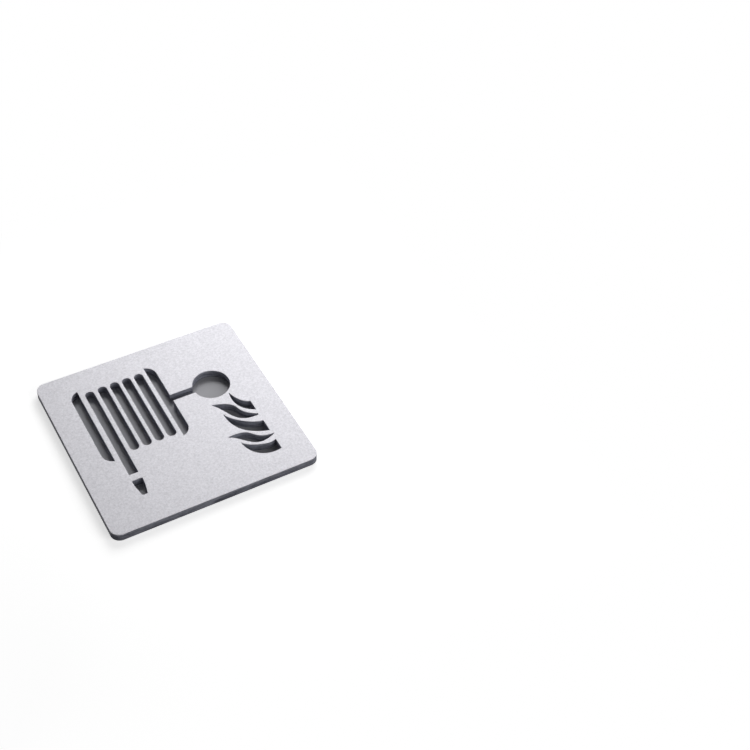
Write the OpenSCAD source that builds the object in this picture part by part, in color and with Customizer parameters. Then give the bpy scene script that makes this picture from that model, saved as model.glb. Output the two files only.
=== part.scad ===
// Fire hose reel sign: a square board with a reel, a hose and flames cut right through it.
// The board lies on its back, face up, with the top of the sign towards +Y.
// Origin at the centre of the back face. Millimetres.

/* [Board] */
// Side of the square board; the whole figure grows with it
side = 120; // [80:1:300]
// Thickness of the board
thickness = 5; // [2:0.5:12]
// Radius of the board's corners
corner_r = 5.5; // [1:0.5:15]

/* [Reel] */
// Number of hose turns between the free hose and the right flange
turns = 4; // [1:1:5]
// Width of a hose turn, and of the free hose
turn_w = 5.3; // [3:0.1:6]
// Length of a hose turn over its round ends
turn_len = 52.6; // [40:0.2:55]
// Board left between two turns
turn_rib = 2; // [1:0.1:2.5]
// Board left between the free hose and the first turn
hose_rib = 2.4; // [1:0.1:3]
// Board left between the left flange and the free hose
left_rib = 2.9; // [1:0.1:4]
// Board left between the last turn and the right flange
right_rib = 2.4; // [1:0.1:3]
// Width of each flange
flange_w = 5.3; // [3:0.1:7]
// Height of each flange
flange_len = 58; // [50:0.1:64]
// Radius of the flanges' outer corners, which is wider than the flange
flange_r = 7; // [6:0.5:12]

/* [Hose and nozzle] */
// Drop from the reel's centre to the square end of the free hose
hose_drop = 41.5; // [30:0.1:44]
// How much lower the free hose starts than the turns beside it
hose_step = 0.5; // [0:0.1:3]
// Board left between the hose and the nozzle
nozzle_gap = 4.5; // [2:0.1:6]
// Length of the nozzle
nozzle_len = 11.4; // [8:0.2:13]
// Width of the nozzle where it meets the hose
nozzle_w = 6; // [4:0.1:8]
// Width of the nozzle's mouth
nozzle_mouth = 2.8; // [1.5:0.1:3.5]

/* [Wheel] */
// Diameter of the round wheel
wheel_d = 21.6; // [14:0.2:22]
// Width of the axle between the right flange and the wheel
axle_w = 4.8; // [2:0.2:6]

/* [Hidden] */

// The figure's own places are for a board of this side, seen from its centre
design_side = 120;
figure_scale = side / design_side;
cut_past = 1;
arc_faces = 96;
curve_steps = 20;

reel_left = -45.3;
reel_y = 16.7;
turn_pitch = turn_w + turn_rib;
hose_x = reel_left + flange_w + left_rib + turn_w / 2;
first_turn_x = hose_x + turn_w + hose_rib;
last_turn_x = first_turn_x + (turns - 1) * turn_pitch;
right_flange_x = last_turn_x + turn_w / 2 + right_rib;
reel_w = right_flange_x + flange_w - reel_left;
hose_top = reel_y + turn_len / 2 - hose_step;
hose_end = reel_y - hose_drop;
nozzle_top = hose_end - nozzle_gap;

wheel_x = 29.7;
wheel_y = 16.4;
axle_y = 17;

// How far the nozzle's sides bulge, as the handles of their curve
nozzle_handles = [0.3, 0.67];
nozzle_swell = 0.6;

// The straight right edge that three of the flames end at
flame_edge = 44;

// Each flame is an upper and a lower curve, each with its two ends and the two handles between
flames = [
    [
        [[36, 5.6], [36.6, 1.6], [40, -5.3], [flame_edge, -5.3]],
        [[flame_edge, -12.9], [35.8, -8.8], [34, -2], [35.7, 5.6]]
    ],
    [
        [[23.2, 1.5], [41.7, -3.7], [29.5, -8.6], [43.6, -16]],
        [[43.5, -17], [28.6, -17.9], [30.4, -7.7], [23.2, 1.1]]
    ],
    [
        [[26.2, -8.3], [27.7, -13.3], [38, -22.2], [flame_edge, -22]],
        [[flame_edge, -30.4], [36.9, -28.2], [26, -24], [25.9, -8.3]]
    ],
    [
        [[21.3, -24.5], [38.6, -23.2], [30.2, -32.6], [45.2, -33.2]],
        [[45.2, -33.5], [30.7, -40.8], [29.8, -28.7], [21.3, -25]]
    ],
    [
        [[26.1, -31.5], [27.9, -35.4], [40, -40.5], [flame_edge, -37.5]],
        [[flame_edge, -45], [34.3, -47.2], [26.8, -41.3], [25.8, -31.5]]
    ]
];

function curve_point(p, t) =
    pow(1 - t, 3) * p[0] + 3 * pow(1 - t, 2) * t * p[1] + 3 * (1 - t) * t * t * p[2] + t * t * t * p[3];

function curve(p) = [for (i = [0 : curve_steps]) curve_point(p, i / curve_steps)];

// A rectangle centred on the origin, with round corners
module rounded_rectangle(w, h, r) {
    square([w - 2 * r, h], center = true);
    square([w, h - 2 * r], center = true);
    for (x = [-1, 1]) {
        for (y = [-1, 1]) {
            translate([x * (w / 2 - r), y * (h / 2 - r)]) circle(r = r, $fn = arc_faces);
        }
    }
}

// The two flanges are the side strips of one rounded reel outline
module flanges() {
    intersection() {
        translate([reel_left + reel_w / 2, reel_y]) rounded_rectangle(reel_w, flange_len, flange_r);
        for (x = [reel_left, right_flange_x]) {
            translate([x, reel_y - flange_len / 2]) square([flange_w, flange_len]);
        }
    }
}

module turn() {
    straight = turn_len - turn_w;
    square([turn_w, straight], center = true);
    for (y = [-1, 1]) {
        translate([0, y * straight / 2]) circle(d = turn_w, $fn = arc_faces);
    }
}

// The free hose has a round top like the turns and a square end
module free_hose() {
    round_y = hose_top - turn_w / 2;
    translate([hose_x, round_y]) circle(d = turn_w, $fn = arc_faces);
    translate([hose_x - turn_w / 2, hose_end]) square([turn_w, round_y - hose_end]);
}

// The nozzle narrows to its mouth between two swelling sides
module nozzle() {
    bulge = nozzle_mouth / 2 + (nozzle_w - nozzle_mouth) / 2 * nozzle_swell;
    side_curve = curve([
        [nozzle_w / 2, 0],
        [nozzle_w / 2, -nozzle_len * nozzle_handles[0]],
        [bulge, -nozzle_len * nozzle_handles[1]],
        [nozzle_mouth / 2, -nozzle_len]
    ]);
    mirrored = [for (i = [curve_steps : -1 : 0]) [-side_curve[i][0], side_curve[i][1]]];
    translate([hose_x, nozzle_top]) polygon(concat(side_curve, mirrored));
}

module wheel_and_axle() {
    axle_start = right_flange_x + flange_w / 2;
    translate([wheel_x, wheel_y]) circle(d = wheel_d, $fn = arc_faces);
    translate([axle_start, axle_y - axle_w / 2]) square([wheel_x - axle_start, axle_w]);
}

module flame(curves) {
    polygon(concat(curve(curves[0]), curve(curves[1])));
}

module figure() {
    flanges();
    free_hose();
    for (i = [0 : turns - 1]) {
        translate([first_turn_x + i * turn_pitch, reel_y]) turn();
    }
    nozzle();
    wheel_and_axle();
    for (curves = flames) flame(curves);
}

module sign_plate() {
    color("silver")
    difference() {
        linear_extrude(thickness) rounded_rectangle(side, side, corner_r);
        translate([0, 0, -cut_past])
            linear_extrude(thickness + 2 * cut_past)
            scale([figure_scale, figure_scale])
            figure();
    }
}

sign_plate();
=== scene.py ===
import math

import bmesh
import bpy
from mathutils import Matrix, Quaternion, Vector


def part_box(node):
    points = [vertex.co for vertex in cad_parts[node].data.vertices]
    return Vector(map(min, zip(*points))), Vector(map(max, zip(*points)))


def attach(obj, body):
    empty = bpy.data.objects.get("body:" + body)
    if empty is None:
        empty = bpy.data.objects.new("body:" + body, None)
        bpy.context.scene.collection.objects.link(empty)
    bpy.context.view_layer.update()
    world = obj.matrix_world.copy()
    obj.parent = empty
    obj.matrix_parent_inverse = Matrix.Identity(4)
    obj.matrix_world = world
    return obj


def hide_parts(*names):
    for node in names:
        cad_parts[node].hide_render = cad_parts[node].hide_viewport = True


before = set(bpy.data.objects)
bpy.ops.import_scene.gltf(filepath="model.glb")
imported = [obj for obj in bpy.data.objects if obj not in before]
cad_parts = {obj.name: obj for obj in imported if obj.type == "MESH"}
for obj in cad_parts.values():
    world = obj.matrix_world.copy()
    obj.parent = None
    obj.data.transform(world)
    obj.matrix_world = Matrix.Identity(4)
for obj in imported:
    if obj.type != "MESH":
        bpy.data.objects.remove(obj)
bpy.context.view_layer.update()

# The board. One 5 mm sheet of charcoal plastic, cut right through by the figure and then sprayed on its
# face with matt silver. The spray ends just over the broken edges, which carry a painted highlight of
# lighter silver. The cut walls are painted lighter near the face and darker towards their foot, as
# painted shade, and the plain back has the walls' colour.
bare_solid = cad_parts["sign_plate"]
lowest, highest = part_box("sign_plate")
face_height = highest[2]
weld_distance = 1e-6
flat_angle = math.radians(0.5)
sharp_angle = math.radians(50)
edge_break = 0.0002
edge_steps = 2

shape = bmesh.new()
shape.from_mesh(bare_solid.data)
bmesh.ops.remove_doubles(shape, verts=shape.verts, dist=weld_distance)
bmesh.ops.dissolve_limit(shape, angle_limit=flat_angle, verts=shape.verts, edges=shape.edges)
bmesh.ops.bevel(
    shape,
    geom=[edge for edge in shape.edges if edge.calc_face_angle(0) > sharp_angle],
    affect="EDGES",
    offset_type="OFFSET",
    offset=edge_break,
    segments=edge_steps,
    profile=0.5,
    miter_outer="ARC",
    spread=edge_break,
    clamp_overlap=True,
)
# The two flat sides are left as a few faces with many corners, so they are filled again with triangles
for level, facing in ((lowest[2], -1), (face_height, 1)):
    at_level = {corner for corner in shape.verts if abs(corner.co.z - level) < weld_distance}
    flat = [face for face in shape.faces if at_level.issuperset(face.verts)]
    bmesh.ops.delete(shape, geom=flat, context="FACES")
    rim = [edge for edge in shape.edges if edge.is_boundary]
    bmesh.ops.triangle_fill(shape, edges=rim, use_beauty=True, normal=(0, 0, facing))
# The filling gives its triangles in another order each time, so the faces are put in one fixed order
shape.verts.index_update()
by_corners = sorted(shape.faces, key=lambda face: [corner.index for corner in face.verts])
turn = {face: number for number, face in enumerate(by_corners)}
shape.faces.sort(key=turn.get)
for face in shape.faces:
    face.smooth = True
board_mesh = bpy.data.meshes.new("board")
shape.to_mesh(board_mesh)
shape.free()
board = bpy.data.objects.new("board", board_mesh)
bpy.context.scene.collection.objects.link(board)
even_shading = board.modifiers.new("even_shading", "WEIGHTED_NORMAL")
even_shading.mode = "FACE_AREA"
even_shading.weight = 100


class Wire:
    """One output of a node in a material, with which sums and products can be written."""

    def __init__(self, tree, output=None):
        self.tree = tree
        self.output = output

    def node(self, kind, settings=(), inputs=(), output=0):
        made = self.tree.nodes.new(kind)
        for name, setting in dict(settings).items():
            setattr(made, name, setting)
        for name, value in dict(inputs).items():
            if isinstance(value, Wire):
                self.tree.links.new(value.output, made.inputs[name])
            else:
                made.inputs[name].default_value = value
        return Wire(self.tree, made.outputs[output])

    def maths(self, operation, *values):
        return self.node("ShaderNodeMath", {"operation": operation}, enumerate(values))

    def between(self, low, high):
        """A colour between two, by the Mix node's numbered colour sockets."""
        return self.node("ShaderNodeMix", {"data_type": "RGBA"}, {0: self, 6: low, 7: high}, output=2)

    def noise(self, scale, detail):
        """Noise over the places that this wire carries."""
        return self.node("ShaderNodeTexNoise", {}, {"Vector": self, "Scale": scale, "Detail": detail})

    def swing(self, reach):
        """A noise's departure from its middle, scaled."""
        return (self - 0.5) * reach

    def rise(self, low, high):
        """From 0 at low to 1 at high, with soft ends."""
        return self.node(
            "ShaderNodeMapRange",
            {"interpolation_type": "SMOOTHSTEP"},
            {"Value": self, "From Min": low, "From Max": high},
        )

    def __add__(self, other):
        return self.maths("ADD", self, other)

    def __radd__(self, other):
        return self.maths("ADD", other, self)

    def __sub__(self, other):
        return self.maths("SUBTRACT", self, other)

    def __rsub__(self, other):
        return self.maths("SUBTRACT", other, self)

    def __mul__(self, other):
        return self.maths("MULTIPLY", self, other)

    def __rmul__(self, other):
        return self.maths("MULTIPLY", other, self)


silver_dark = (0.42, 0.416, 0.443, 1)
silver_light = (0.87, 0.862, 0.91, 1)
# The next colour is a painted highlight: a lighter silver for the broken edges of the face
silver_painted_highlight = (0.93, 0.92, 0.96, 1)
charcoal = (0.080, 0.083, 0.104, 1)
# The next colour is the pale end of the walls' random tone, which the painted light near the face also
# reaches
charcoal_pale_and_painted_lit = (0.42, 0.43, 0.50, 1)
silver_metal = 0.3
silver_roughness = 0.40
silver_roughness_swing = 0.12
wall_roughness = 0.5
wall_roughness_swing = 0.2
gloss_level = 0.12
silver_level = 0.5
grain_detail = 2
streak_detail = 3
fleck_size = 0.0003
fleck_swing = 0.7
mottle_size = 0.0011
mottle_swing = 0.7
wall_mottle_swing = 0.4
smear_length = 0.007
smear_height = 0.0008
smear_swing = 2.0
tool_mark_width = 0.0005
tool_mark_height = 0.008
tool_mark_swing = 0.3
# Painted shade on the cut walls: lighter over this depth below the face, by this much, and darker towards
# the foot
painted_shading_reach = 0.004
painted_shading_lift = 0.45
wall_cover = 0.42
spray_reach = 0.0003
spray_softness = 0.00005
spray_waver = 0.0002
# Below the face by this much, the painted edge highlight is full
painted_highlight_start = 0.00006
relief_depth = 0.00005
relief_strength = 0.5

finish = bpy.data.materials.new("silver_spray_on_charcoal")
finish.use_nodes = True
wire = Wire(finish.node_tree)
place = wire.node("ShaderNodeTexCoord", output="Object")
height = wire.node("ShaderNodeSeparateXYZ", {}, {"Vector": place}, output="Z")
fleck = place.noise(1 / fleck_size, grain_detail)
mottle = place.noise(1 / mottle_size, grain_detail)
mark_scale = (1 / tool_mark_width, 1 / tool_mark_width, 1 / tool_mark_height)
upright = wire.node("ShaderNodeMapping", {}, {"Vector": place, "Scale": mark_scale})
tool_mark = upright.noise(1, streak_detail)
smear_scale = (1 / smear_length, 1 / smear_length, 1 / smear_height)
lengthwise = wire.node("ShaderNodeMapping", {}, {"Vector": place, "Scale": smear_scale})
smear = lengthwise.noise(1, streak_detail)

spray_end = face_height - spray_reach
spray = (height + mottle.swing(spray_waver)).rise(spray_end - spray_softness, spray_end + spray_softness)
# Painted highlight: below the flat face, on the broken edges and as far as the spray goes down the walls,
# the silver is lighter
flat_face = height.rise(face_height - painted_highlight_start, face_height)
grain_tone = silver_level + fleck.swing(fleck_swing) + mottle.swing(mottle_swing)
grain = grain_tone.between(silver_dark, silver_light)
silver = flat_face.between(silver_painted_highlight, grain)
# Painted shade: the cut walls are lighter near the face and darker towards their foot
painted_wall_shading = painted_shading_lift * height.rise(face_height - painted_shading_reach, face_height)
wall_tone = (
    wall_cover
    + painted_wall_shading
    + smear.swing(smear_swing)
    + mottle.swing(wall_mottle_swing)
    + tool_mark.swing(tool_mark_swing)
)
wall = wall_tone.between(charcoal, charcoal_pale_and_painted_lit)
relief = wire.node(
    "ShaderNodeBump",
    {},
    {
        "Strength": relief_strength,
        "Distance": relief_depth,
        "Height": spray * fleck + (1 - spray) * tool_mark,
    },
)
silver_matt = silver_roughness + fleck * silver_roughness_swing
wall_matt = wall_roughness + tool_mark * wall_roughness_swing
shader = finish.node_tree.nodes["Principled BSDF"]
shader.inputs["Specular IOR Level"].default_value = gloss_level
for name, source in {
    "Base Color": spray.between(wall, silver),
    "Roughness": spray * silver_matt + (1 - spray) * wall_matt,
    "Metallic": spray * silver_metal,
    "Normal": relief,
}.items():
    finish.node_tree.links.new(source.output, shader.inputs[name])
board.data.materials.append(finish)
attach(board, "root")
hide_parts("sign_plate")

# The table. A large white top that the board lies on. It keeps the board's soft shadow and goes plain
# white further out, and only the patch that shows through the cuts is a grey of its own, a little glossy.
table_side = 6
hair_gap = 0.00002
patch_reach = 0.055
white_near = 0.07
white_far = 0.2
patch_grey = (0.42, 0.42, 0.44, 1)
patch_gloss = (0.95, 0.95, 1, 1)
patch_gloss_roughness = 0.26
patch_gloss_share = 0.028
spread_grey = (0.16, 0.16, 0.165, 1)
shaded_white = (0.9, 0.9, 0.9, 1)
glow_level = 0.64
pure_white = (1, 1, 1, 1)

table_mesh = bpy.data.meshes.new("table")
corners = [(-1, -1), (1, -1), (1, 1), (-1, 1)]
table_mesh.from_pydata(
    [(x * table_side / 2, y * table_side / 2, lowest[2] - hair_gap) for x, y in corners],
    [],
    [(0, 1, 2, 3)],
)
table = bpy.data.objects.new("table", table_mesh)
bpy.context.scene.collection.objects.link(table)


def looked_at(wire):
    """1 where the camera, a reflection or glass looks at it, and 0 for the light that it spreads."""
    camera = wire.node("ShaderNodeLightPath", output="Is Camera Ray")
    glossy = wire.node("ShaderNodeLightPath", output="Is Glossy Ray")
    through = wire.node("ShaderNodeLightPath", output="Is Transmission Ray")
    return wire.maths("MAXIMUM", camera, wire.maths("MAXIMUM", glossy, through))


top = bpy.data.materials.new("white_table")
top.use_nodes = True
wire = Wire(top.node_tree)
place = wire.node("ShaderNodeTexCoord", output="Object")
across, along = (wire.node("ShaderNodeSeparateXYZ", {}, {"Vector": place}, output=axis) for axis in "XY")
reach = wire.maths("MAXIMUM", wire.maths("ABSOLUTE", across), wire.maths("ABSOLUTE", along))
outside = wire.maths("GREATER_THAN", reach, patch_reach)
grey = wire.node("ShaderNodeBsdfDiffuse", {}, {"Color": patch_grey})
gloss = wire.node("ShaderNodeBsdfGlossy", {}, {"Color": patch_gloss, "Roughness": patch_gloss_roughness})
patch = wire.node("ShaderNodeMixShader", {}, {0: patch_gloss_share, 1: grey, 2: gloss})
spread = wire.node("ShaderNodeBsdfDiffuse", {}, {"Color": spread_grey})
white = wire.node("ShaderNodeBsdfDiffuse", {}, {"Color": shaded_white})
glow = wire.node("ShaderNodeEmission", {}, {"Color": pure_white, "Strength": glow_level})
white_and_glow = wire.node("ShaderNodeAddShader", {}, {0: white, 1: glow})
plain_white = wire.node("ShaderNodeEmission", {}, {"Color": pure_white, "Strength": 1})
far_out = reach.rise(white_near, white_far)
seen_top = wire.node("ShaderNodeMixShader", {}, {0: far_out, 1: white_and_glow, 2: plain_white})
white_top = wire.node("ShaderNodeMixShader", {}, {0: looked_at(wire), 1: spread, 2: seen_top})
whole_top = wire.node("ShaderNodeMixShader", {}, {0: outside, 1: patch, 2: white_top})
top.node_tree.links.new(whole_top.output, top.node_tree.nodes["Material Output"].inputs["Surface"])
table.data.materials.append(top)

# The light. A large soft box behind the board and to its right, a wider and lower one in front of it,
# and an even room, which is white where it is looked at.
even_level = 0.05


def soft_box(name, direction, distance, width, depth, power):
    light = bpy.data.lights.new(name, "AREA")
    light.shape = "RECTANGLE"
    light.size = width
    light.size_y = depth
    light.energy = power
    lamp = bpy.data.objects.new(name, light)
    lamp.location = Vector(direction).normalized() * distance
    lamp.rotation_euler = lamp.location.to_track_quat("Z", "Y").to_euler()
    bpy.context.scene.collection.objects.link(lamp)


soft_box("window_light", direction=(0.75, 1.0, 0.97), distance=0.65, width=0.53, depth=0.41, power=2.5)
soft_box("front_light", direction=(0.7, -1.0, 0.6), distance=1.0, width=0.8, depth=0.6, power=3.3)

room = bpy.data.worlds.new("room")
room.use_nodes = True
wire = Wire(room.node_tree)
even_light = wire.node("ShaderNodeBackground", {}, {"Color": pure_white, "Strength": even_level})
white_room = wire.node("ShaderNodeBackground", {}, {"Color": pure_white, "Strength": 1})
whole_room = wire.node("ShaderNodeMixShader", {}, {0: looked_at(wire), 1: even_light, 2: white_room})
room.node_tree.links.new(whole_room.output, room.node_tree.nodes["World Output"].inputs["Surface"])
bpy.context.scene.world = room

# The camera. It stands in front of the board, to its left and above it, turned a little about its own
# axis, so that the board lies at the lower left of the picture.
camera_place = Vector((-0.16762, -0.48285, 0.56834))
camera_aim = Vector((0.11671, -0.02017, 0.005))
camera_roll = math.radians(3.15)
lens = bpy.data.cameras.new("camera")
lens.lens = 64.84
lens.sensor_width = 36
lens.sensor_fit = "HORIZONTAL"
lens.clip_start = 0.01
camera = bpy.data.objects.new("camera", lens)
bpy.context.scene.collection.objects.link(camera)
camera.location = camera_place
level_view = (camera_aim - camera_place).to_track_quat("-Z", "Y")
camera.rotation_euler = (level_view @ Quaternion((0, 0, 1), camera_roll)).to_euler()
bpy.context.scene.camera = camera
bpy.context.scene.view_settings.view_transform = "Standard"
